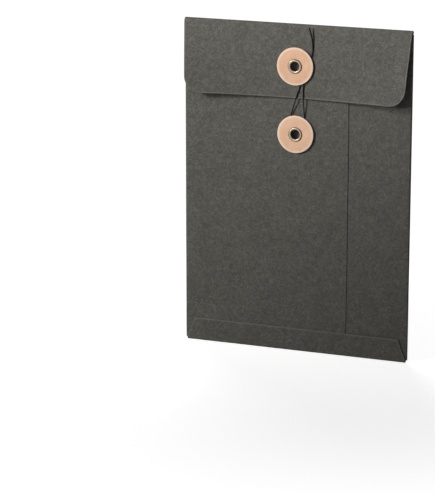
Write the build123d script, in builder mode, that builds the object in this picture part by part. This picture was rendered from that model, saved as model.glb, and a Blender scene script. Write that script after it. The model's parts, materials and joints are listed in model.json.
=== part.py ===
"""A B6 string tie envelope: a folded paper pocket, a closure flap, two eyeleted discs and a tie string.

Millimetres. The front faces -Y, +X is to the viewer's right, and the bottom fold stands at Z = 0.
The sheet is one folded blank: each panel and each crease is a solid of its own, and they meet edge to edge.
"""

import os
from math import cos, radians, sin, tan

from build123d import *

# Overall size and sheet
envelope_width = 125.0
envelope_height = 176.0
paper = 0.35
pocket_gap = 1.2  # Clear depth inside, between the back panel and the right front panel
glue = 0.1

# Front panels and bottom flap
seam_from_left = 91.0  # The left front panel's free edge
seam_overlap = 12.0
throat_at_folds = 2.2  # How far the front panels stop below the top, at the side folds
throat_at_seam = 9.0  # The same, at their free edges
bottom_flap_height = 12.5
bottom_flap_slant = 4.0  # How far each end of the bottom flap draws in
glue_margin = 2.0  # Bare paper left round a glue film
seam_glue_height = 150.0

# Closure flap
flap_length = 38.7  # From the top of the fold to the hem
flap_fold_depth = 3.7  # Outside of the top fold, from back to front
flap_side_inset = 0.3  # Each end of the top fold, in from the envelope's side
flap_taper = 2.1  # How far each side edge draws in further by the hem
flap_corner_radius = 8.5
flap_corner_curl = 6.5  # How far the hem's corners curl out past its middle
rounded_curl_share = 0.8  # Share of that curl left once the corners are rounded off

# Discs and eyelets
disc_diameter = 20.0
disc_thickness = 0.6
disc_edge_chamfer = 0.15
disc_standoff = 0.7  # Room under a disc for the string
flap_disc_drop = 21.9  # Disc centres, below the top of the fold
body_disc_drop = 58.0
eyelet_bore = 5.0
eyelet_wall = 0.3
eyelet_rim_width = 1.25  # Rolled front rim, from the bore outwards
eyelet_rim_height = 0.55
eyelet_clinch_width = 1.1  # Rim rolled over behind the paper
eyelet_clinch_height = 0.4
eyelet_facets = 5  # Flats across each rolled rim
disc_clearance = 0.05  # Disc to barrel, and disc to the rim over it
paper_hole_clearance = 0.02

# String
string_diameter = 0.5
string_sides = 8
tail_lift = 1.8  # The free end, in front of the flap
hem_hop = 0.2  # Extra lift where the string passes over the hem
bend_share = 0.45  # Share of the shorter run that each bend takes up

# Sheet layers, from the back to the front
overall_depth = flap_fold_depth + rounded_curl_share * flap_corner_curl
back_y = overall_depth / 2
back_inner_y = back_y - paper
right_outer_y = back_inner_y - pocket_gap - paper
left_outer_y = right_outer_y - glue - paper
bottom_outer_y = left_outer_y - glue - paper
flap_outer_y = back_y - flap_fold_depth

# Creases: each is a half round whose outside spans the layers that it joins
left_fold_radius = (back_y - left_outer_y) / 2
right_fold_radius = (back_y - right_outer_y) / 2
bottom_fold_radius = (back_y - bottom_outer_y) / 2
top_fold_radius = flap_fold_depth / 2
half_width = envelope_width / 2
flap_half_width = half_width - flap_side_inset
left_x = left_fold_radius - half_width  # Where the flat panels start
right_x = half_width - right_fold_radius
bottom_z = bottom_fold_radius
hinge_y = back_y - top_fold_radius
hinge_z = envelope_height - top_fold_radius
hem_z = envelope_height - flap_length
seam_x = seam_from_left - half_width
under_x = seam_x - seam_overlap
fold_top_z = envelope_height - throat_at_folds
seam_top_z = envelope_height - throat_at_seam

# Fastener places
flap_disc_z = envelope_height - flap_disc_drop
body_disc_z = envelope_height - body_disc_drop
bore_radius = eyelet_bore / 2
barrel_radius = bore_radius + eyelet_wall
rim_base = disc_standoff + disc_thickness + disc_clearance  # In front of the paper

os.makedirs("parts", exist_ok=True)


def finish(piece, name):
    """Labels a finished piece and writes it."""
    piece.part.label = name
    export_step(piece.part, f"parts/{name}.step")


def front_plane(y, z=0):
    """A plane facing the viewer, at this depth: X to the right, and Y up from this height."""
    return Plane(origin=(0, y, z), x_dir=(1, 0, 0), z_dir=(0, -1, 0))


def make_crease(plane, radius, start_angle, length):
    """One half-round crease, centred on the plane's origin and extruded along its normal."""
    with BuildPart() as crease:
        with BuildSketch(plane):
            with BuildLine():
                outer = CenterArc((0, 0), radius, start_angle, 180)
                inner = CenterArc((0, 0), radius - paper, start_angle, 180)
                Line(outer @ 0, inner @ 0)
                Line(outer @ 1, inner @ 1)
            make_face()
        extrude(amount=length)
    return crease


# Back panel
with BuildPart() as back_panel:
    with BuildSketch(front_plane(back_inner_y)):
        Polygon(
            (left_x, bottom_z),
            (right_x, bottom_z),
            (right_x, fold_top_z),
            (flap_half_width, hinge_z),
            (-flap_half_width, hinge_z),
            (left_x, fold_top_z),
            align=None,
        )
    extrude(amount=-paper)
finish(back_panel, "back_panel")

# Left front panel, with the hole for the lower eyelet
with BuildPart() as left_front_panel:
    with BuildSketch(front_plane(left_outer_y)):
        Polygon(
            (left_x, bottom_z),
            (seam_x, bottom_z),
            (seam_x, seam_top_z),
            (left_x, fold_top_z),
            align=None,
        )
        with Locations((0, body_disc_z)):
            Circle(barrel_radius + paper_hole_clearance, mode=Mode.SUBTRACT)
    extrude(amount=-paper)
finish(left_front_panel, "left_front_panel")

# Right front panel, which tucks under the left one at the seam
with BuildPart() as right_front_panel:
    with BuildSketch(front_plane(right_outer_y)):
        Polygon(
            (under_x, bottom_z),
            (right_x, bottom_z),
            (right_x, fold_top_z),
            (under_x, seam_top_z),
            align=None,
        )
    extrude(amount=-paper)
finish(right_front_panel, "right_front_panel")

# Side creases
left_crease_plane = Plane(origin=(left_x, back_y - left_fold_radius, bottom_z))
left_side_fold = make_crease(left_crease_plane, left_fold_radius, 90, fold_top_z - bottom_z)
finish(left_side_fold, "left_side_fold")

right_crease_plane = Plane(origin=(right_x, back_y - right_fold_radius, bottom_z))
right_side_fold = make_crease(right_crease_plane, right_fold_radius, -90, fold_top_z - bottom_z)
finish(right_side_fold, "right_side_fold")

# Bottom crease and bottom flap
bottom_crease_plane = Plane(
    origin=(left_x, back_y - bottom_fold_radius, bottom_z), x_dir=(0, 1, 0), z_dir=(1, 0, 0)
)
bottom_fold = make_crease(bottom_crease_plane, bottom_fold_radius, 180, right_x - left_x)
finish(bottom_fold, "bottom_fold")

with BuildPart() as bottom_flap:
    with BuildSketch(front_plane(bottom_outer_y)):
        Polygon(
            (left_x, bottom_z),
            (right_x, bottom_z),
            (right_x - bottom_flap_slant, bottom_flap_height),
            (left_x + bottom_flap_slant, bottom_flap_height),
            align=None,
        )
    extrude(amount=-paper)
finish(bottom_flap, "bottom_flap")

# Glue films
with BuildPart() as seam_glue:
    with BuildSketch(front_plane(right_outer_y - glue)):
        with Locations(((under_x + seam_x) / 2, bottom_flap_height)):
            Rectangle(seam_overlap - 2 * glue_margin, seam_glue_height, align=(Align.CENTER, Align.MIN))
    extrude(amount=-glue)
finish(seam_glue, "seam_glue")

with BuildPart() as bottom_flap_glue:
    with BuildSketch(front_plane(left_outer_y - glue)):
        with Locations((left_x + bottom_flap_slant + glue_margin, bottom_z + glue_margin)):
            Rectangle(
                seam_x - left_x - bottom_flap_slant - 2 * glue_margin,
                bottom_flap_height - bottom_z - 2 * glue_margin,
                align=Align.MIN,
            )
    extrude(amount=-glue)
finish(bottom_flap_glue, "bottom_flap_glue")

# Top crease, round the line that the flap swings on
top_crease_plane = Plane(origin=(-flap_half_width, hinge_y, hinge_z), x_dir=(0, 1, 0), z_dir=(1, 0, 0))
top_fold = make_crease(top_crease_plane, top_fold_radius, 0, 2 * flap_half_width)
finish(top_fold, "top_fold")

# Closure flap: straight at the crease, curling out towards the corners of its hem
with BuildPart() as closure_flap:
    with BuildSketch(Plane.XY.offset(hem_z)):
        with BuildLine():
            front = ThreePointArc(
                (-half_width, flap_outer_y - flap_corner_curl),
                (0, flap_outer_y),
                (half_width, flap_outer_y - flap_corner_curl),
            )
            rear = ThreePointArc(
                (half_width, flap_outer_y + paper - flap_corner_curl),
                (0, flap_outer_y + paper),
                (-half_width, flap_outer_y + paper - flap_corner_curl),
            )
            Line(front @ 1, rear @ 0)
            Line(rear @ 1, front @ 0)
        make_face()
    with BuildSketch(Plane.XY.offset(hinge_z)):
        with BuildLine():
            Polyline(
                (-half_width, flap_outer_y),
                (half_width, flap_outer_y),
                (half_width, flap_outer_y + paper),
                (-half_width, flap_outer_y + paper),
                close=True,
            )
        make_face()
    loft(ruled=True)
    with BuildSketch(front_plane(hinge_y)) as flap_outline:
        Polygon(
            (-flap_half_width, hinge_z),
            (flap_half_width, hinge_z),
            (flap_half_width - flap_taper, hem_z),
            (flap_taper - flap_half_width, hem_z),
            align=None,
        )
        fillet(flap_outline.vertices().group_by(Axis.Y)[0], radius=flap_corner_radius)
        with Locations((0, flap_disc_z)):
            Circle(barrel_radius + paper_hole_clearance, mode=Mode.SUBTRACT)
    extrude(amount=envelope_width, both=True, mode=Mode.INTERSECT)
finish(closure_flap, "closure_flap")


def make_disc(sheet_y, centre_z):
    """One fibre-board washer, standing off the sheet behind it."""
    with BuildPart() as disc:
        with BuildSketch(front_plane(sheet_y - disc_standoff, centre_z)):
            Circle(disc_diameter / 2)
            Circle(barrel_radius + disc_clearance, mode=Mode.SUBTRACT)
        extrude(amount=disc_thickness)
        rims = disc.edges().filter_by(GeomType.CIRCLE).sort_by(SortBy.RADIUS)[-2:]
        chamfer(rims, length=disc_edge_chamfer)
    return disc


def rolled_rim(width, base, height):
    """Points across one rolled rim, from its outer edge to the bore: radius, then distance in front."""
    middle = bore_radius + width / 2
    angles = [radians(180 * step / eyelet_facets) for step in range(eyelet_facets + 1)]
    return [(middle + cos(angle) * width / 2, base + sin(angle) * height) for angle in angles]


def make_eyelet(sheet_y, centre_z):
    """One eyelet: a rolled rim over the disc, a barrel, and a clinch behind the sheet."""
    front_rim = rolled_rim(eyelet_rim_width, rim_base, eyelet_rim_height)
    clinch = rolled_rim(eyelet_clinch_width, -paper, -eyelet_clinch_height)
    barrel = [(barrel_radius, -paper), (barrel_radius, rim_base)]
    with BuildPart() as eyelet:
        with BuildSketch(Plane(origin=(0, sheet_y, centre_z), x_dir=(1, 0, 0), z_dir=(0, 0, -1))):
            with BuildLine():
                Polyline(*front_rim, *reversed(clinch), *barrel, close=True)
            make_face()
        revolve(axis=Axis((0, sheet_y, centre_z), (0, -1, 0)))
    return eyelet


flap_disc = make_disc(flap_outer_y, flap_disc_z)
finish(flap_disc, "flap_disc")
body_disc = make_disc(left_outer_y, body_disc_z)
finish(body_disc, "body_disc")
flap_eyelet = make_eyelet(flap_outer_y, flap_disc_z)
finish(flap_eyelet, "flap_eyelet")
body_eyelet = make_eyelet(left_outer_y, body_disc_z)
finish(body_eyelet, "body_eyelet")

# String route: across from the discs' centre line, and up from the centre of the disc named.
# It starts at its hitch round the flap's eyelet, goes round the lower eyelet and back,
# and ends in a free tail.
flap_string_y = flap_outer_y - disc_standoff / 2
body_string_y = left_outer_y - disc_standoff / 2
hem_string_y = flap_string_y - hem_hop
hitch = [(-2.6, -3.1), (-3.9, 0.7), (-1.4, 3.8), (2.6, 3.1), (3.9, -0.7), (3.4, -10.0)]
down_over_hem = (0.7, -17.3)
lower_loop = [(-2.5, 10.3), (-5.7, 1.6), (-5.0, -4.6), (0.0, -7.0), (5.1, -4.4), (5.1, 2.2), (5.0, 9.8)]
up_over_hem = (4.8, -17.2)
under_flap_disc = [(4.8, -9.9), (5.6, -3.6), (7.4, 1.2), (9.4, 6.2)]
tail = [(10.1, 12.6), (9.0, 16.8), (7.9, 20.6)]
tail_lifts = [0.4, 1.2, tail_lift]

route = [(x, flap_string_y, flap_disc_z + up) for x, up in hitch]
route += [(down_over_hem[0], hem_string_y, flap_disc_z + down_over_hem[1])]
route += [(x, body_string_y, body_disc_z + up) for x, up in lower_loop]
route += [(up_over_hem[0], hem_string_y, flap_disc_z + up_over_hem[1])]
route += [(x, flap_string_y, flap_disc_z + up) for x, up in under_flap_disc]
route += [(x, flap_outer_y - lift, flap_disc_z + up) for (x, up), lift in zip(tail, tail_lifts)]

points = [Vector(*point) for point in route]
bend_radii = []
for before, corner, after in zip(points, points[1:], points[2:]):
    turn = (corner - before).get_angle(after - corner)
    shorter_run = min((corner - before).length, (after - corner).length)
    bend_radii.append(bend_share * shorter_run / tan(radians(turn) / 2))

with BuildPart() as tie_string:
    with BuildLine() as string_path:
        FilletPolyline(*points, radius=bend_radii)
    with BuildSketch(Plane(origin=string_path.wire() @ 0, z_dir=string_path.wire() % 0)) as string_section:
        RegularPolygon(radius=string_diameter / 2, side_count=string_sides)
    sweep(path=string_path.wire())
finish(tie_string, "tie_string")

string_line = string_path.wire()
samples = 400
steps = [string_line.position_at(step / samples) for step in range(samples + 1)]
reach = 4 * string_diameter  # Points closer than this along the string are neighbours
spacing = string_line.length / samples
skip = int(reach / spacing) + 1
least_gap = min(
    (steps[first] - steps[second]).length
    for first in range(len(steps))
    for second in range(first + skip, len(steps))
)
print("string length", round(string_line.length, 1))
print("string bend radii", [round(radius, 1) for radius in bend_radii])
print("least gap from the string to itself", round(least_gap - string_diameter, 2))
volume_share = tie_string.part.volume / (string_section.sketch.area * string_line.length)
print("string volume over its section times its length", round(volume_share, 4))
print("flap hinge", round(hinge_y, 3), round(hinge_z, 3))
print("back face", round(back_y, 3))
print("flap face", round(flap_outer_y, 3), "front panel face", round(left_outer_y, 3))
print("depth", round(back_y - closure_flap.part.bounding_box().min.Y, 2))
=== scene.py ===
"""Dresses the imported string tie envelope, and sets its floor, light and camera.

The pieces are folded paper, board discs, eyelets and a twisted string. Lengths are in metres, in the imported
model's frame: the front faces -Y, +X is to the viewer's right and Z is up.
"""

import json
from math import atan, cos, pi, radians, sin, sqrt, tan

import bmesh
import bpy
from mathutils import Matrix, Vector, noise


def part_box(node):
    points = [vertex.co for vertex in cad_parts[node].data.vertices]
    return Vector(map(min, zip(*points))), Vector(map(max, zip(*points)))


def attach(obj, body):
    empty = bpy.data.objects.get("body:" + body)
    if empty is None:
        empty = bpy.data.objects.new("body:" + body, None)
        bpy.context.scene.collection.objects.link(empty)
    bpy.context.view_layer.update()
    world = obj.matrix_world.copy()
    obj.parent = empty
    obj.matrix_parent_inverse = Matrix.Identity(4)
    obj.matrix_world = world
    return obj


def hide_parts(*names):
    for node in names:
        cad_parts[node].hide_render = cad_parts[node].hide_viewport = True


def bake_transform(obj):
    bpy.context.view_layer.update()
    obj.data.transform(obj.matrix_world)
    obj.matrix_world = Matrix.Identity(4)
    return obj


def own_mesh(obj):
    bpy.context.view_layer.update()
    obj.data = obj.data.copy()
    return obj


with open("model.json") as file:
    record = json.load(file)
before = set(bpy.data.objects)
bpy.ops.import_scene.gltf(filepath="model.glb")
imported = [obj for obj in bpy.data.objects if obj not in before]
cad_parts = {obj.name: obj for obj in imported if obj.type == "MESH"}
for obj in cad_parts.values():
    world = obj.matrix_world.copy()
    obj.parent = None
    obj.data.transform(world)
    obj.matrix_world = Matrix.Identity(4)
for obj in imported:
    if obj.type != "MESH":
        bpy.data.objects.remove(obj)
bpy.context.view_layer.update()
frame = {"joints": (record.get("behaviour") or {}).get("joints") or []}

MM = 0.001

# Places and sizes read from the frame
joints = {joint["name"]: joint for joint in frame["joints"]}
hinge = Vector(joints["flap_hinge"]["pos_m"])
flap_disc_seat = Vector(joints["flap_disc_spin"]["pos_m"])
body_disc_seat = Vector(joints["body_disc_spin"]["pos_m"])
back_low, back_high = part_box("back_panel")
left_low, left_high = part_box("left_front_panel")
right_low, right_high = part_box("right_front_panel")
bottom_low, bottom_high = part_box("bottom_flap")
flap_low, flap_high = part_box("closure_flap")
disc_low, disc_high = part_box("flap_disc")

paper = back_high.y - back_low.y
half_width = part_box("right_side_fold")[1].x
left_x = left_low.x
right_x = right_high.x
seam_x = left_high.x
under_x = right_low.x
bottom_z = back_low.z
fold_top_z = left_high.z
flap_half_width = flap_high.x
flap_length = hinge.z - flap_low.z
flap_face_y = flap_high.y - paper
body_face_y = left_low.y
back_mid_y = (back_low.y + back_high.y) / 2
left_mid_y = (left_low.y + left_high.y) / 2
right_mid_y = (right_low.y + right_high.y) / 2
bottom_mid_y = (bottom_low.y + bottom_high.y) / 2
flap_mid_y = flap_high.y - paper / 2
top_fold_radius = (back_mid_y - flap_mid_y) / 2
disc_radius = disc_high.x
disc_thickness = disc_high.y - disc_low.y
disc_standoff = flap_face_y - disc_high.y
rim_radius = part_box("flap_eyelet")[1].x

# Sizes that the boxes don't give
throat_drop = 6.8 * MM  # The front panels' top edges, from the side folds down to the seam
bottom_slant = 4 * MM
flap_taper = 2.1 * MM
flap_corner_radius = 8.5 * MM
flap_corner_curl = 6.5 * MM
barrel_radius = 2.8 * MM
bore_radius = 2.5 * MM
hole_radius = 2.82 * MM
disc_hole_radius = 2.85 * MM
rim_gap = 0.05 * MM
rim_base = disc_standoff + disc_thickness + rim_gap
rim_height = 0.55 * MM
clinch_radius = 3.6 * MM
clinch_height = 0.4 * MM
string_diameter = 0.5 * MM


# Small helpers


def smooth(value, start, end):
    """0 before start, 1 after end, and an even ease between them."""
    share = min(1.0, max(0.0, (value - start) / (end - start)))
    return share * share * (3 - 2 * share)


def spread(start, end, count):
    """Evenly spaced values from start to end, both included."""
    return [start + (end - start) * step / (count - 1) for step in range(count)]


def new_row(*grids):
    """Starts an empty row in each of these grids."""
    for grid in grids:
        grid.append([])


def link_mesh(name, mesh, materials):
    """A new object in the scene that shows this mesh with these materials."""
    piece = bpy.data.objects.new(name, mesh)
    for material in materials:
        mesh.materials.append(material)
    bpy.context.scene.collection.objects.link(piece)
    return piece


def shade(mesh):
    """Smooth shading, broken at sharp edges."""
    sharp_angle = radians(40)
    mesh.shade_smooth()
    mesh.set_sharp_from_angle(angle=sharp_angle)


# Material nodes


def node(tree, kind, inputs=None, **settings):
    """A shader node with these settings; an input is a constant or another node's output."""
    made = tree.nodes.new("ShaderNode" + kind)
    for name, value in settings.items():
        setattr(made, name, value)
    for name, value in (inputs or {}).items():
        if isinstance(value, bpy.types.NodeSocket):
            tree.links.new(value, made.inputs[name])
        else:
            made.inputs[name].default_value = value
    return made


def calc(tree, operation, first, second=0.0):
    """The output of one Math node."""
    return node(tree, "Math", {0: first, 1: second}, operation=operation).outputs[0]


def clouds(tree, place, size, detail, distortion=0.0):
    """Noise with spots of about this size, drawn out of shape by the distortion."""
    inputs = {"Vector": place, "Scale": 1 / size, "Detail": detail, "Distortion": distortion}
    return node(tree, "TexNoise", inputs).outputs[0]


def remap(tree, value, low, high, to_low, to_high):
    """A value carried from one range to another, clamped."""
    inputs = {0: value, 1: low, 2: high, 3: to_low, 4: to_high}
    return node(tree, "MapRange", inputs).outputs[0]


def swing(tree, value, to_low, to_high):
    """Noise carried from the range that most of it lies in to another, clamped."""
    noise_low = 0.3
    noise_high = 0.7
    return remap(tree, value, noise_low, noise_high, to_low, to_high)


def mix(tree, share, first, second):
    """Two colours mixed by share."""
    return node(tree, "Mix", {0: share, 6: first, 7: second}, data_type="RGBA").outputs[2]


def axis_distance(tree, place):
    """The distance from the axis that a disc or eyelet turns on."""
    flat = node(tree, "VectorMath", {0: place, 1: (1, 0, 1)}, operation="MULTIPLY").outputs[0]
    return node(tree, "VectorMath", {0: flat}, operation="LENGTH").outputs["Value"]


def fibres(tree, place, spacing, length, width, share):
    """A mask of short curved fibres, each turned its own way.

    This share of the cells of a random pattern hold one.
    """
    core = 0.2
    cells = node(tree, "TexVoronoi", {"Vector": place, "Scale": 1 / spacing}, voronoi_dimensions="2D")
    chance = node(tree, "SeparateColor", {0: cells.outputs["Color"]})
    offset = node(tree, "VectorMath", {0: place, 1: cells.outputs["Position"]}, operation="SUBTRACT")
    angle = calc(tree, "MULTIPLY", chance.outputs[0], 2 * pi)
    inputs = {"Vector": offset.outputs[0], "Angle": angle}
    turned = node(tree, "VectorRotate", inputs, rotation_type="Z_AXIS")
    parts = node(tree, "SeparateXYZ", {0: turned.outputs[0]})
    along = calc(tree, "DIVIDE", parts.outputs[0], length / 2)
    squared = calc(tree, "MULTIPLY", along, along)
    bend = calc(tree, "MULTIPLY", squared, length / 6)
    across = calc(tree, "DIVIDE", calc(tree, "ADD", parts.outputs[1], bend), width / 2)
    reach = calc(tree, "ADD", squared, calc(tree, "MULTIPLY", across, across))
    held = calc(tree, "LESS_THAN", chance.outputs[1], share)
    return calc(tree, "MULTIPLY", remap(tree, reach, core, 1.0, 1.0, 0.0), held)


def new_material(name):
    """A material with its node tree and its Principled shader."""
    material = bpy.data.materials.new(name)
    material.use_nodes = True
    return material, material.node_tree, material.node_tree.nodes["Principled BSDF"]


def set_bump(tree, shader, height, distance):
    """Feeds the shader's normal from a height, where a height of 1 stands this far out."""
    bump = node(tree, "Bump", {"Height": height, "Distance": distance, "Strength": 1.0})
    tree.links.new(bump.outputs[0], shader.inputs["Normal"])


# Materials

BLANK_MAP = "blank"
EDGE_MAP = "edge_distance"


def make_paper(name, base, light, dark):
    """Charcoal paper, dyed through, with cloudy dye, fine grain, scattered fibres and edges paled by wear and
    a painted highlight.
    """
    material, tree, shader = new_material(name)
    place = node(tree, "UVMap", uv_map=BLANK_MAP).outputs[0]
    cloud = clouds(tree, place, size=11 * MM, detail=3)
    felt = clouds(tree, place, size=2.2 * MM, detail=3, distortion=1.2)
    grain = clouds(tree, place, size=0.6 * MM, detail=2, distortion=0.8)
    pale_fibres = fibres(tree, place, spacing=3.4 * MM, length=3.2 * MM, width=0.42 * MM, share=0.55)
    fine_fibres = fibres(tree, place, spacing=1.6 * MM, length=1.6 * MM, width=0.28 * MM, share=0.5)
    dark_fibres = fibres(tree, place, spacing=2.6 * MM, length=2.4 * MM, width=0.45 * MM, share=0.55)
    tone = swing(tree, cloud, -0.05, 0.05)
    tone = calc(tree, "ADD", tone, swing(tree, felt, -0.17, 0.17))
    tone = calc(tree, "ADD", tone, swing(tree, grain, -0.15, 0.15))
    shaded = mix(tree, remap(tree, tone, -0.5, 0.0, 1.0, 0.0), base, dark)
    shaded = mix(tree, remap(tree, tone, 0.0, 0.5, 0.0, 1.0), shaded, light)
    shaded = mix(tree, calc(tree, "MULTIPLY", dark_fibres, 0.45), shaded, dark)
    shaded = mix(tree, calc(tree, "MULTIPLY", fine_fibres, 0.3), shaded, light)
    shaded = mix(tree, calc(tree, "MULTIPLY", pale_fibres, 0.45), shaded, light)
    edge_distance = node(tree, "Attribute", attribute_name=EDGE_MAP).outputs["Fac"]
    # Paler near the cut edges: partly rubbing wear, partly a painted highlight
    edge_wear_and_highlight = remap(tree, edge_distance, 0.2 * MM, 0.8 * MM, 0.8, 0.0)
    edge_wear_and_highlight = calc(tree, "MULTIPLY", edge_wear_and_highlight, swing(tree, felt, 0.6, 1.0))
    shaded = mix(tree, edge_wear_and_highlight, shaded, light)
    tree.links.new(shaded, shader.inputs["Base Color"])
    shader.inputs["Roughness"].default_value = 0.85
    shader.inputs["Specular IOR Level"].default_value = 0.25
    height = calc(tree, "ADD", calc(tree, "MULTIPLY", felt, 0.6), calc(tree, "MULTIPLY", grain, 0.4))
    height = calc(tree, "ADD", height, calc(tree, "MULTIPLY", pale_fibres, 0.25))
    set_bump(tree, shader, height, 0.07 * MM)
    return material


def make_board(name, base, pale, dark):
    """Pressed fibre board: fine mottling, a painted highlight along its rim and a painted shadow round the
    eyelet.
    """
    rim_highlight_start = disc_radius - 1.5 * MM
    rim_highlight_end = disc_radius - 0.7 * MM
    eyelet_shadow_end = rim_radius + 0.45 * MM
    material, tree, shader = new_material(name)
    place = node(tree, "TexCoord").outputs["Object"]
    radius = axis_distance(tree, place)
    cloud = clouds(tree, place, size=4 * MM, detail=3)
    grain = clouds(tree, place, size=0.5 * MM, detail=2)
    tone = calc(tree, "ADD", swing(tree, cloud, -0.25, 0.25), swing(tree, grain, -0.2, 0.2))
    shaded = mix(tree, remap(tree, tone, -0.5, 0.0, 0.45, 0.0), base, dark)
    shaded = mix(tree, remap(tree, tone, 0.0, 0.5, 0.0, 0.4), shaded, pale)
    # Painted highlight: paler towards the rim
    shaded = mix(tree, remap(tree, radius, rim_highlight_start, rim_highlight_end, 0.0, 0.8), shaded, pale)
    # Painted shadow: darker just outside the eyelet's rim
    shaded = mix(tree, remap(tree, radius, rim_radius, eyelet_shadow_end, 0.7, 0.0), shaded, dark)
    tree.links.new(shaded, shader.inputs["Base Color"])
    shader.inputs["Roughness"].default_value = 0.6
    shader.inputs["Specular IOR Level"].default_value = 0.35
    set_bump(tree, shader, grain, 0.03 * MM)
    return material


def make_board_edge(name, base, dark):
    """The board's cut edge: darker, with the lines of its plies."""
    ply_thickness = 0.22 * MM
    material, tree, shader = new_material(name)
    place = node(tree, "TexCoord").outputs["Object"]
    depth = node(tree, "SeparateXYZ", {0: place}).outputs[1]
    plies = calc(tree, "SINE", calc(tree, "MULTIPLY", depth, 2 * pi / ply_thickness))
    rough = clouds(tree, place, size=0.3 * MM, detail=2)
    share = calc(tree, "ADD", remap(tree, plies, -1.0, 1.0, 0.0, 0.5), swing(tree, rough, 0.0, 0.5))
    tree.links.new(mix(tree, share, base, dark), shader.inputs["Base Color"])
    shader.inputs["Roughness"].default_value = 0.8
    set_bump(tree, shader, rough, 0.04 * MM)
    return material


def make_metal(name, base, dark):
    """Plated eyelet metal: satin, with tarnish in spots and painted shade towards the outer edge of the rim.
    """
    rim_shade_start = rim_radius - 0.5 * MM
    rim_shade_end = rim_radius - 0.1 * MM
    material, tree, shader = new_material(name)
    place = node(tree, "TexCoord").outputs["Object"]
    # Painted shade: darker towards the outer edge of the rolled rim
    edge = remap(tree, axis_distance(tree, place), rim_shade_start, rim_shade_end, 0.0, 1.0)
    spots = clouds(tree, place, size=0.9 * MM, detail=3)
    fine = clouds(tree, place, size=0.12 * MM, detail=2)
    tarnish_and_rim_shade = calc(tree, "MAXIMUM", remap(tree, spots, 0.5, 0.75, 0.0, 0.6), edge)
    tree.links.new(mix(tree, tarnish_and_rim_shade, base, dark), shader.inputs["Base Color"])
    tree.links.new(swing(tree, spots, 0.3, 0.46), shader.inputs["Roughness"])
    shader.inputs["Metallic"].default_value = 1.0
    set_bump(tree, shader, fine, 0.004 * MM)
    return material


def make_thread(name, base, light):
    """Black waxed thread with a fine fuzz and little shine."""
    material, tree, shader = new_material(name)
    place = node(tree, "TexCoord").outputs["Object"]
    fine = clouds(tree, place, size=0.08 * MM, detail=3)
    shaded = mix(tree, remap(tree, fine, 0.4, 0.8, 0.0, 1.0), base, light)
    tree.links.new(shaded, shader.inputs["Base Color"])
    shader.inputs["Roughness"].default_value = 0.8
    shader.inputs["Specular IOR Level"].default_value = 0.08
    set_bump(tree, shader, fine, 0.02 * MM)
    return material


def make_glue(name, base, light):
    """Dried paper glue: a yellowish film of uneven tone."""
    material, tree, shader = new_material(name)
    place = node(tree, "UVMap", uv_map=BLANK_MAP).outputs[0]
    blotches = clouds(tree, place, size=2 * MM, detail=3)
    tree.links.new(mix(tree, blotches, base, light), shader.inputs["Base Color"])
    shader.inputs["Roughness"].default_value = 0.45
    set_bump(tree, shader, blotches, 0.03 * MM)
    return material


paper_face = make_paper(
    "charcoal_paper",
    base=(0.109, 0.1055, 0.0925, 1),
    light=(0.212, 0.209, 0.183, 1),
    dark=(0.055, 0.0525, 0.045, 1),
)
# The cut edges are lighter than the face: partly the cut fibres' own tone, partly a painted highlight
paper_cut = make_paper(
    "paper_cut_edge",
    base=(0.17, 0.167, 0.15, 1),
    light=(0.3, 0.3, 0.27, 1),
    dark=(0.1, 0.1, 0.09, 1),
)
flap_board = make_board(
    "flap_disc_face",
    base=(0.81, 0.49, 0.31, 1),
    pale=(0.92, 0.7, 0.54, 1),
    dark=(0.6, 0.34, 0.2, 1),
)
# Less light falls on the lower disc, which looks as pale as the upper one, so its board is paler
body_board = make_board(
    "body_disc_face",
    base=(0.92, 0.565, 0.365, 1),
    pale=(0.97, 0.77, 0.61, 1),
    dark=(0.7, 0.4, 0.25, 1),
)
board_edge = make_board_edge("disc_cut_edge", base=(0.16, 0.075, 0.035, 1), dark=(0.06, 0.026, 0.012, 1))
eyelet_metal = make_metal("eyelet_plating", base=(0.4, 0.325, 0.255, 1), dark=(0.09, 0.05, 0.028, 1))
thread = make_thread("waxed_thread", base=(0.006, 0.006, 0.0055, 1), light=(0.016, 0.016, 0.015, 1))
glue = make_glue("dried_glue", base=(0.5, 0.46, 0.37, 1), light=(0.66, 0.62, 0.52, 1))


# Paper sheets


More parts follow.
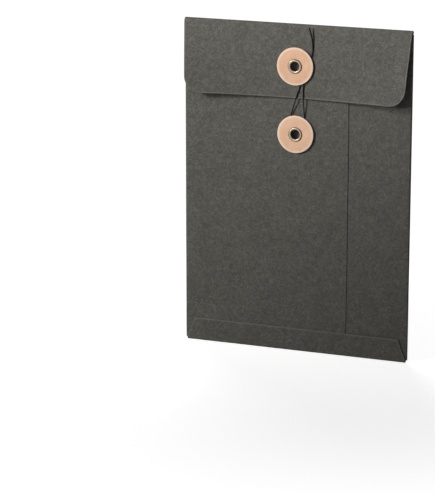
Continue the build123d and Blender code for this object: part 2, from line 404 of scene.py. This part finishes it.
def sheet_piece(name, middle, flat, edges, materials, thickness=paper):
    """A closed sheet round a grid of mid-surface points.

    Its outer side is where the cross product of the columns' and the rows' directions points. For the
    paper's grain, flat holds each point's place on the cut blank, and for its edge wear and painted edge
    highlight, edges holds its distance from the nearest cut edge.
    """
    rows = len(middle)
    columns = len(middle[0])
    mesh = bpy.data.meshes.new(name)
    grid = bmesh.new()
    edge_layer = grid.verts.layers.float.new(EDGE_MAP)
    outer = []
    inner = []
    for row in range(rows):
        above = middle[min(row + 1, rows - 1)]
        below = middle[max(row - 1, 0)]
        new_row(outer, inner)
        for column in range(columns):
            along = middle[row][min(column + 1, columns - 1)] - middle[row][max(column - 1, 0)]
            normal = along.cross(above[column] - below[column]).normalized()
            outer[row].append(grid.verts.new(middle[row][column] + normal * thickness / 2))
            inner[row].append(grid.verts.new(middle[row][column] - normal * thickness / 2))
            outer[row][column][edge_layer] = edges[row][column]
            inner[row][column][edge_layer] = edges[row][column]
    layer = grid.loops.layers.uv.new(BLANK_MAP)
    places = {}
    for row in range(rows):
        for column in range(columns):
            places[outer[row][column]] = flat[row][column]
            places[inner[row][column]] = flat[row][column]
    for row in range(rows - 1):
        for column in range(columns - 1):
            ring = ((row, column), (row, column + 1), (row + 1, column + 1), (row + 1, column))
            grid.faces.new([outer[r][c] for r, c in ring])
            grid.faces.new([inner[r][c] for r, c in reversed(ring)])
    border = [(0, column) for column in range(columns - 1)]
    border += [(row, columns - 1) for row in range(rows - 1)]
    border += [(rows - 1, column) for column in range(columns - 1, 0, -1)]
    border += [(row, 0) for row in range(rows - 1, 0, -1)]
    for (r, c), (next_r, next_c) in zip(border, border[1:] + border[:1]):
        rim = grid.faces.new((outer[next_r][next_c], outer[r][c], inner[r][c], inner[next_r][next_c]))
        rim.material_index = 1
    for face in grid.faces:
        for loop in face.loops:
            loop[layer].uv = places[loop.vert]
    grid.to_mesh(mesh)
    grid.free()
    shade(mesh)
    return link_mesh(name, mesh, materials)


def punch(piece, centre, radius):
    """Cuts a round hole from front to back through a sheet."""
    segments = 48
    depth = 8 * paper
    cutter_mesh = bpy.data.meshes.new("punch")
    cutter_shape = bmesh.new()
    bmesh.ops.create_cone(
        cutter_shape, cap_ends=True, segments=segments, radius1=radius, radius2=radius, depth=depth
    )
    cutter_shape.to_mesh(cutter_mesh)
    cutter_shape.free()
    cutter = bpy.data.objects.new("punch", cutter_mesh)
    cutter.location = centre
    cutter.rotation_euler = (pi / 2, 0, 0)
    bpy.context.scene.collection.objects.link(cutter)
    cut = piece.modifiers.new("hole", "BOOLEAN")
    cut.operation = "DIFFERENCE"
    cut.object = cutter
    cut.solver = "EXACT"
    bpy.context.view_layer.update()
    shown = piece.evaluated_get(bpy.context.evaluated_depsgraph_get())
    holed = bpy.data.meshes.new_from_object(shown)
    piece.modifiers.remove(cut)
    bpy.data.objects.remove(cutter)
    holed.name = piece.name
    piece.data = holed
    shade(holed)


def front_sway(x, z):
    """How far the front of the pocket sinks in.

    It stays put at its folds, its foot, its mouth and round the lower disc.
    """
    depth = 0.4 * MM
    wave = 38 * MM
    from_folds = smooth(min(x - left_x, right_x - x), 0, 22 * MM)
    from_foot = smooth(z, 8 * MM, 40 * MM)
    from_mouth = smooth(fold_top_z - z, 0, 30 * MM)
    to_disc = (Vector((x, 0, z)) - Vector((0, 0, body_disc_seat.z))).length
    from_disc = smooth(to_disc, 11 * MM, 26 * MM)
    drift = 0.5 + 0.5 * noise.noise(Vector((x, 0, z)) / wave)
    return depth * drift * from_folds * from_foot * from_mouth * from_disc


def back_sway(x, z):
    """How far the back sinks in. It stays put at its folds, its foot and its top."""
    depth = 0.3 * MM
    wave = 45 * MM
    noise_offset = 70 * MM
    from_folds = smooth(min(x - left_x, right_x - x), 0, 25 * MM)
    from_ends = smooth(min(z, fold_top_z - z), 0, 30 * MM)
    drift = 0.5 + 0.5 * noise.noise(Vector((x, noise_offset, z)) / wave)
    return -depth * drift * from_folds * from_ends


def no_sway(x, z):
    """The folds don't sway."""
    return 0.0


def half_turn(centre_x, first_y, last_y, side, count):
    """Points of a half-round fold from one layer to the other, seen from above.

    side is 1 for a fold to the right of its centre, and -1 for one to the left.
    """
    radius = abs(last_y - first_y) / 2
    middle_y = (first_y + last_y) / 2
    turn = (first_y - middle_y) / radius
    angles = [pi * step / count for step in range(1, count)]
    return [
        (centre_x + side * radius * sin(angle), middle_y + turn * radius * cos(angle)) for angle in angles
    ]


def make_pocket():
    """Right panel, right fold, back, left fold and left panel, as one folded sheet."""
    rows = 60
    right_columns = 28
    back_columns = 60
    left_columns = 56
    fold_steps = 12
    fainter_edge_wear_and_highlight = 0.4 * MM
    sways = {"front": front_sway, "back": back_sway, "fold": no_sway}
    section = [(x, right_mid_y, "front") for x in spread(under_x, right_x, right_columns)]
    section += [(x, y, "fold") for x, y in half_turn(right_x, right_mid_y, back_mid_y, 1, fold_steps)]
    section += [(x, back_mid_y, "back") for x in spread(right_x, left_x, back_columns)]
    section += [(x, y, "fold") for x, y in half_turn(left_x, back_mid_y, left_mid_y, -1, fold_steps)]
    section += [(x, left_mid_y, "front") for x in spread(left_x, seam_x, left_columns)]
    runs = [0.0]
    for (x, y, _), (next_x, next_y, _) in zip(section, section[1:]):
        runs.append(runs[-1] + sqrt((next_x - x) ** 2 + (next_y - y) ** 2))
    back_start = runs[[side for _, _, side in section].index("back")]
    middle = []
    flat = []
    edges = []
    for row in range(rows):
        new_row(middle, flat, edges)
        for (x, y, side), run in zip(section, runs):
            top = fold_top_z
            if side == "front" and y == left_mid_y:
                top -= throat_drop * (x - left_x) / (seam_x - left_x)
            elif side == "front":
                top -= throat_drop * (right_x - x) / (right_x - under_x)
            z = bottom_z + (top - bottom_z) * row / (rows - 1)
            middle[row].append(Vector((x, y + sways[side](x, z), z)))
            flat[row].append((run - back_start, z))
            # The pale edges of wear and painted highlight come fainter on the front panels, and not at all
            # elsewhere
            edge = min(run, runs[-1] - run, top - z) + fainter_edge_wear_and_highlight
            edges[row].append(edge if side == "front" else half_width)
    pocket = sheet_piece("pocket_sheet", middle, flat, edges, (paper_face, paper_cut))
    punch(pocket, Vector((0, left_mid_y, body_disc_seat.z)), hole_radius)
    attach(pocket, "envelope")
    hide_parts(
        "back_panel", "left_front_panel", "right_front_panel", "left_side_fold", "right_side_fold"
    )


def make_bottom():
    """Bottom fold and bottom flap, from the foot of the back round to the front."""
    columns = 64
    fold_steps = 12
    flap_rows = 9
    radius = (back_mid_y - bottom_mid_y) / 2
    fold_y = (back_mid_y + bottom_mid_y) / 2
    middle = []
    flat = []
    edges = []
    for step in range(fold_steps + 1):
        angle = pi * step / fold_steps
        new_row(middle, flat, edges)
        for x in spread(left_x, right_x, columns):
            middle[-1].append(Vector((x, fold_y + radius * cos(angle), bottom_z - radius * sin(angle))))
            flat[-1].append((right_x - x, bottom_z - radius * angle))
            edges[-1].append(min(x - left_x, right_x - x))
    for share in spread(0, 1, flap_rows)[1:]:
        z = bottom_z + (bottom_high.z - bottom_z) * share
        inset = bottom_slant * share
        new_row(middle, flat, edges)
        for x in spread(left_x + inset, right_x - inset, columns):
            middle[-1].append(Vector((x, bottom_mid_y + front_sway(x, z), z)))
            flat[-1].append((right_x - x, bottom_z - radius * pi - (z - bottom_z)))
            edges[-1].append(min(x - left_x - inset, right_x - inset - x, bottom_high.z - z))
    bottom = sheet_piece("bottom_flap_sheet", middle, flat, edges, (paper_face, paper_cut))
    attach(bottom, "envelope")
    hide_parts("bottom_fold", "bottom_flap")


def flap_lean(x):
    """The angle at which the flap leans out: none in the middle, most at its corners."""
    return atan(flap_corner_curl * (x / half_width) ** 2 / flap_length)


def flap_point(x, drop):
    """A mid-surface point of the hanging flap, this far below the hinge."""
    lean = flap_lean(x)
    return Vector((x, hinge.y - top_fold_radius / cos(lean) - drop * tan(lean), hinge.z - drop))


def make_flap():
    """The strip above the pocket, the top fold and the closure flap, as one sheet bent at the hinge."""
    columns = 90
    fold_steps = 16
    straight_rows = 26
    corner_rows = 14
    radius = top_fold_radius
    middle = []
    flat = []
    edges = []
    for share in (0.0, 0.5):
        z = fold_top_z + (hinge.z - fold_top_z) * share
        from_x = right_x + (flap_half_width - right_x) * share
        to_x = left_x - (flap_half_width + left_x) * share
        across = spread(from_x, to_x, columns)
        middle.append([Vector((x, back_mid_y, z)) for x in across])
        flat.append([(right_x - x, z) for x in across])
        edges.append([min(from_x - x, x - to_x) for x in across])
    for step in range(fold_steps):
        new_row(middle, flat, edges)
        for x in spread(flap_half_width, -flap_half_width, columns):
            angle = (pi - flap_lean(x)) * step / fold_steps
            middle[-1].append(Vector((x, hinge.y + radius * cos(angle), hinge.z + radius * sin(angle))))
            flat[-1].append((right_x - x, hinge.z + radius * angle))
            edges[-1].append(flap_half_width - abs(x))
    straight = [(drop, 0.0) for drop in spread(0, flap_length - flap_corner_radius, straight_rows)]
    corner = [
        (flap_length - flap_corner_radius * (1 - sin(angle)), flap_corner_radius * (1 - cos(angle)))
        for angle in spread(0, pi / 2, corner_rows)[1:]
    ]
    for drop, inset in straight + corner:
        edge = flap_half_width - flap_taper * drop / flap_length - inset
        across = spread(edge, -edge, columns)
        middle.append([flap_point(x, drop) for x in across])
        flat.append([(right_x - x, hinge.z + radius * pi + drop) for x in across])
        edges.append([min(edge - abs(x), flap_length - drop) for x in across])
    flap = sheet_piece("flap_sheet", middle, flat, edges, (paper_face, paper_cut))
    punch(flap, Vector((0, flap_mid_y, flap_disc_seat.z)), hole_radius)
    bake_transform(flap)
    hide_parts("top_fold", "closure_flap")


def make_glue_film(name, cad_node):
    """A glue film in its place between two layers, following the sway of the front."""
    rows = 40
    columns = 20
    low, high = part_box(cad_node)
    middle_y = (low.y + high.y) / 2
    heights = spread(low.z, high.z, rows)
    across = spread(low.x, high.x, columns)
    middle = [[Vector((x, middle_y + front_sway(x, z), z)) for x in across] for z in heights]
    flat = [[(x, z) for x in across] for z in heights]
    edges = [[min(x - low.x, high.x - x, z - low.z, high.z - z) for x in across] for z in heights]
    film = sheet_piece(name, middle, flat, edges, (glue, glue), high.y - low.y)
    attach(film, "envelope")
    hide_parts(cad_node)


make_pocket()
make_bottom()
make_flap()
make_glue_film("seam_glue_film", "seam_glue")
make_glue_film("bottom_glue_film", "bottom_flap_glue")


# Discs and eyelets


def lathe(name, profile, materials, bands, seat, segments, trim=None):
    """A ring turned from a closed profile of (radius, distance forward), facing the front at its seat.

    bands holds each profile edge's material index, and trim may change a point's radius by its angle.
    """
    shape = bmesh.new()
    rings = []
    for step in range(segments):
        angle = 2 * pi * step / segments
        ring = []
        for radius, forward in profile:
            reach = trim(radius, forward, angle) if trim else radius
            ring.append(shape.verts.new((reach * cos(angle), -forward, reach * sin(angle))))
        rings.append(ring)
    count = len(profile)
    for step in range(segments):
        this = rings[step]
        following = rings[(step + 1) % segments]
        for edge in range(count):
            after = (edge + 1) % count
            face = shape.faces.new((this[edge], this[after], following[after], following[edge]))
            face.material_index = bands[edge]
    bmesh.ops.recalc_face_normals(shape, faces=shape.faces)
    mesh = bpy.data.meshes.new(name)
    shape.to_mesh(mesh)
    shape.free()
    shade(mesh)
    piece = link_mesh(name, mesh, materials)
    piece.location = seat
    return piece


def arc(centre_radius, centre_forward, reach, start, end, count, rise=None):
    """Profile points on part of a circle, or of an ellipse if rise is given.

    The angles are in degrees, from outwards.
    """
    height = reach if rise is None else rise
    angles = [radians(angle) for angle in spread(start, end, count)]
    return [
        (centre_radius + reach * cos(angle), centre_forward + height * sin(angle)) for angle in angles
    ]


def make_disc(name, seat, body, board):
    """One board washer: a rounded front edge, a squarer back edge and a pressed ring round the eyelet."""
    segments = 128
    front_round = 0.3 * MM
    back_round = 0.12 * MM
    front_edge_steps = 3  # Those of the front rounding that show the cut edge
    pressed_radius = 4.3 * MM
    pressed_slope = 0.4 * MM
    pressed_face = disc_thickness - 0.06 * MM
    inner_loop = 6 * MM
    outer_loop = 8 * MM
    back = [(disc_hole_radius, 0.0), (inner_loop, 0.0)]
    front_centre = disc_thickness - front_round
    rear_edge = arc(disc_radius - back_round, back_round, back_round, start=-90, end=0, count=4)
    front_edge = arc(disc_radius - front_round, front_centre, front_round, start=0, end=90, count=8)
    face = [(radius, disc_thickness) for radius in (outer_loop, inner_loop, pressed_radius + pressed_slope)]
    pressed = [(pressed_radius, pressed_face), (disc_hole_radius, pressed_face)]
    profile = back + rear_edge + front_edge + face + pressed
    wall_start = len(back)
    wall_end = wall_start + len(rear_edge) + front_edge_steps
    bands = [1 if wall_start <= edge < wall_end else 0 for edge in range(len(profile))]
    disc = lathe(name, profile, (board, board_edge), bands, seat, segments)
    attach(disc, body)
    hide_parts(body)


def make_eyelet(name, sheet_y, centre_z, body, cad_node):
    """One eyelet: a rolled rim over the disc, a barrel, and a clinch split into petals behind the paper."""
    segments = 144
    petals = 8
    split_start = 0.86
    split_end = 0.99
    split_depth = 0.8
    clinch_start = -paper - 0.02 * MM
    rim_reach = (rim_radius - bore_radius) / 2
    clinch_reach = (clinch_radius - bore_radius) / 2
    front_rim = arc(
        bore_radius + rim_reach, rim_base, rim_reach, start=0, end=180, count=14, rise=rim_height
    )
    clinch = arc(
        bore_radius + clinch_reach, -paper, clinch_reach, start=180, end=360, count=10, rise=clinch_height
    )
    barrel = [(barrel_radius, -paper), (barrel_radius, rim_base)]
    profile = front_rim + clinch + barrel

    def petal_trim(radius, forward, angle):
        """Draws the clinch in at the splits between its petals."""
        if forward >= clinch_start or radius < barrel_radius:
            return radius
        split = smooth(abs(cos(petals * angle / 2)), split_start, split_end)
        return radius - (radius - barrel_radius) * split_depth * split

    bands = [0] * len(profile)
    seat = Vector((0, sheet_y, centre_z))
    eyelet = lathe(name, profile, (eyelet_metal,), bands, seat, segments, petal_trim)
    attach(eyelet, body)
    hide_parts(cad_node)


make_disc("flap_disc_board", flap_disc_seat, "flap_disc", flap_board)
make_disc("body_disc_board", body_disc_seat, "body_disc", body_board)
make_eyelet("flap_eyelet_ring", flap_face_y, flap_disc_seat.z, "flap", "flap_eyelet")
make_eyelet("body_eyelet_ring", body_face_y, body_disc_seat.z, "envelope", "body_eyelet")


# String

hem_hop = 0.2 * MM
flap_string_y = flap_face_y - disc_standoff / 2
body_string_y = body_face_y - disc_standoff / 2
hem_string_y = flap_string_y - hem_hop

# The route in millimetres, across and up from the flap disc's seat, or for the loop the lower disc's
HITCH = [(-2.6, -3.1), (-3.9, 0.7), (-1.4, 3.8), (2.6, 3.1), (3.9, -0.7), (2.9, -10.0)]
DOWN_OVER_HEM = (0.2, -17.3)
LOWER_LOOP = [(-2.5, 10.3), (-5.7, 1.6), (-5.0, -4.6), (0.0, -7.0), (5.1, -4.4), (5.1, 2.2), (4.6, 9.8)]
UP_OVER_HEM = (4.4, -17.2)
UNDER_FLAP_DISC = [(4.4, -9.9), (5.3, -3.6), (7.3, 1.2), (9.3, 6.2)]
TAIL = [(9.5, 12.6), (8.8, 16.8), (7.9, 20.6)]
TAIL_LIFTS = [0.4, 1.2, 1.8]


def string_route():
    """The string's hitch at the flap's eyelet, its loop round the lower eyelet, and its free tail."""

    def near(seat, y, place):
        """A point of the route by a disc's seat, at this depth."""
        return Vector((place[0] * MM, y, seat.z + place[1] * MM))

    route = [near(flap_disc_seat, flap_string_y, place) for place in HITCH]
    route += [near(flap_disc_seat, hem_string_y, DOWN_OVER_HEM)]
    route += [near(body_disc_seat, body_string_y, place) for place in LOWER_LOOP]
    route += [near(flap_disc_seat, hem_string_y, UP_OVER_HEM)]
    route += [near(flap_disc_seat, flap_string_y, place) for place in UNDER_FLAP_DISC]
    route += [
        near(flap_disc_seat, flap_face_y - lift * MM, place) for place, lift in zip(TAIL, TAIL_LIFTS)
    ]
    return route


def spline_points(route):
    """Points of the smooth line that has the route as its control points."""
    curve = bpy.data.curves.new("string_line", "CURVE")
    curve.dimensions = "3D"
    curve.resolution_u = 24
    line = curve.splines.new("NURBS")
    line.points.add(len(route) - 1)
    for point, place in zip(line.points, route):
        point.co = (*place, 1)
    line.order_u = 3
    line.use_endpoint_u = True
    holder = bpy.data.objects.new("string_line", curve)
    mesh = bpy.data.meshes.new_from_object(holder)
    points = [vertex.co.copy() for vertex in mesh.vertices]
    bpy.data.objects.remove(holder)
    bpy.data.meshes.remove(mesh)
    return points


def make_string():
    """Three plies twisted along the smooth line, fuller where the tail is slack and open at its end."""
    plies = 3
    sides = 10
    twist_pitch = 2.4 * MM
    ply_radius = 0.36 * string_diameter
    ply_offset = 0.23 * string_diameter
    slack_length = 16 * MM
    slack_swell = 0.3
    fray_length = 1.6 * MM
    fray_spread = 1.7
    fray_thinning = 0.35
    points = spline_points(string_route())
    runs = [0.0]
    for this, following in zip(points, points[1:]):
        runs.append(runs[-1] + (following - this).length)
    slack_start = runs[-1] - slack_length
    slack_full = runs[-1] - slack_length / 2
    shape = bmesh.new()
    across = Vector((1, 0, 0))
    rings = [[] for _ in range(plies)]
    for index, point in enumerate(points):
        along = (points[min(index + 1, len(points) - 1)] - points[max(index - 1, 0)]).normalized()
        across = (across - along * across.dot(along)).normalized()
        over = along.cross(across)
        fray = smooth(runs[index], runs[-1] - fray_length, runs[-1])
        swell = 1 + slack_swell * smooth(runs[index], slack_start, slack_full)
        for ply in range(plies):
            turn = 2 * pi * (runs[index] / twist_pitch + ply / plies)
            reach = ply_offset * swell * (1 + (fray_spread - 1) * fray)
            lay = (across * cos(turn) + over * sin(turn)) * reach
            radius = ply_radius * swell * (1 - fray_thinning * fray)
            ring = [
                shape.verts.new(point + lay + (across * cos(angle) + over * sin(angle)) * radius)
                for angle in (2 * pi * side / sides for side in range(sides))
            ]
            rings[ply].append(ring)
    for ply in rings:
        for ring, following in zip(ply, ply[1:]):
            for side in range(sides):
                after = (side + 1) % sides
                shape.faces.new((ring[side], ring[after], following[after], following[side]))
        shape.faces.new(reversed(ply[0]))
        shape.faces.new(ply[-1])
    bmesh.ops.recalc_face_normals(shape, faces=shape.faces)
    mesh = bpy.data.meshes.new("tie_cord")
    shape.to_mesh(mesh)
    shape.free()
    shade(mesh)
    string = link_mesh("tie_cord", mesh, (thread,))
    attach(string, "flap")
    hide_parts("tie_string")
    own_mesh(string)


make_string()


# Floor, light and camera

WHITE = (1, 1, 1, 1)
BACKDROP_LEVEL = 1.06  # Just over white, so that noise in it stays white
KEY_X = -0.96
KEY_Y = -1.14
KEY_LAMPS = {  # Each one's height and the point that it faces
    "key_low": (0.48, (0.077, 0, 0.25)),
    "key_middle": (0.77, (-0.129, 0, 0.109)),
    "key_high": (1.1, (-0.017, 0, 0.278)),
}


def seen_directly(tree):
    """1 for rays from the camera, off gloss and through glass, and 0 for the rest."""
    path = node(tree, "LightPath")
    seen = calc(tree, "MAXIMUM", path.outputs["Is Camera Ray"], path.outputs["Is Glossy Ray"])
    return calc(tree, "MAXIMUM", seen, path.outputs["Is Transmission Ray"])


def make_floor(size, fade_start, fade_end, near_glow):
    """A white floor that keeps the shadow near the object and turns into plain white further out."""
    mesh = bpy.data.meshes.new("floor")
    corners = [(-size, -size, 0), (size, -size, 0), (size, size, 0), (-size, size, 0)]
    mesh.from_pydata(corners, [], [(0, 1, 2, 3)])
    material, tree, shader = new_material("floor_white")
    shader.inputs["Base Color"].default_value = (0.86, 0.86, 0.86, 1)
    shader.inputs["Roughness"].default_value = 0.9
    shader.inputs["Specular IOR Level"].default_value = 0.1
    place = node(tree, "TexCoord").outputs["Object"]
    distance = node(tree, "VectorMath", {0: place}, operation="LENGTH").outputs["Value"]
    inputs = {0: distance, 1: fade_start, 2: fade_end}
    fade = node(tree, "MapRange", inputs, interpolation_type="SMOOTHSTEP")
    seen = seen_directly(tree)
    shader.inputs["Emission Color"].default_value = WHITE
    tree.links.new(calc(tree, "MULTIPLY", seen, near_glow), shader.inputs["Emission Strength"])
    glow = node(tree, "Emission", {"Color": WHITE, "Strength": BACKDROP_LEVEL})
    share = calc(tree, "MULTIPLY", fade.outputs[0], seen)
    blend = node(tree, "MixShader", {0: share, 1: shader.outputs[0], 2: glow.outputs[0]})
    tree.links.new(blend.outputs[0], tree.nodes["Material Output"].inputs["Surface"])
    floor = link_mesh("floor", mesh, (material,))


def make_world(level):
    """Soft light from all round at this level, and a white background."""
    world = bpy.data.worlds.new("studio")
    bpy.context.scene.world = world
    world.use_nodes = True
    tree = world.node_tree
    backdrop = calc(tree, "MULTIPLY", seen_directly(tree), BACKDROP_LEVEL - level)
    background = tree.nodes["Background"]
    background.inputs["Color"].default_value = WHITE
    tree.links.new(calc(tree, "ADD", backdrop, level), background.inputs["Strength"])


def aim_at(piece, place, aim):
    """Puts a lamp or camera in its place, facing its aim, and links it to the scene."""
    piece.location = place
    piece.rotation_euler = (Vector(aim) - Vector(place)).to_track_quat("-Z", "Y").to_euler()
    bpy.context.scene.collection.objects.link(piece)


def make_lamp(name, place, aim, size, power, spread_angle=180):
    """A square area lamp whose light fades out towards the edge of its beam."""
    light = bpy.data.lights.new(name, "AREA")
    light.size = size
    light.energy = power
    light.spread = radians(spread_angle)
    aim_at(bpy.data.objects.new(name, light), place, aim)


def make_camera(place, aim, lens):
    """The photograph's viewpoint."""
    data = bpy.data.cameras.new("viewpoint")
    data.sensor_width = 36
    data.lens = lens
    camera = bpy.data.objects.new("viewpoint", data)
    aim_at(camera, place, aim)
    bpy.context.scene.camera = camera


make_floor(size=6.0, fade_start=0.1, fade_end=0.3, near_glow=0.74)
make_world(level=0.12)
for name, (height, aim) in KEY_LAMPS.items():
    make_lamp(name, place=(KEY_X, KEY_Y, height), aim=aim, size=0.2, power=0.1215, spread_angle=12.46)
make_lamp("back_light", place=(-0.7, 1.0, 0.4), aim=(0, 0, 0.09), size=0.7, power=8.0)
make_camera(place=(0.40982, -1.15312, 0.37454), aim=(-0.03618, -0.01782, 0.05824), lens=174.35)
bpy.context.scene.view_settings.view_transform = "Standard"
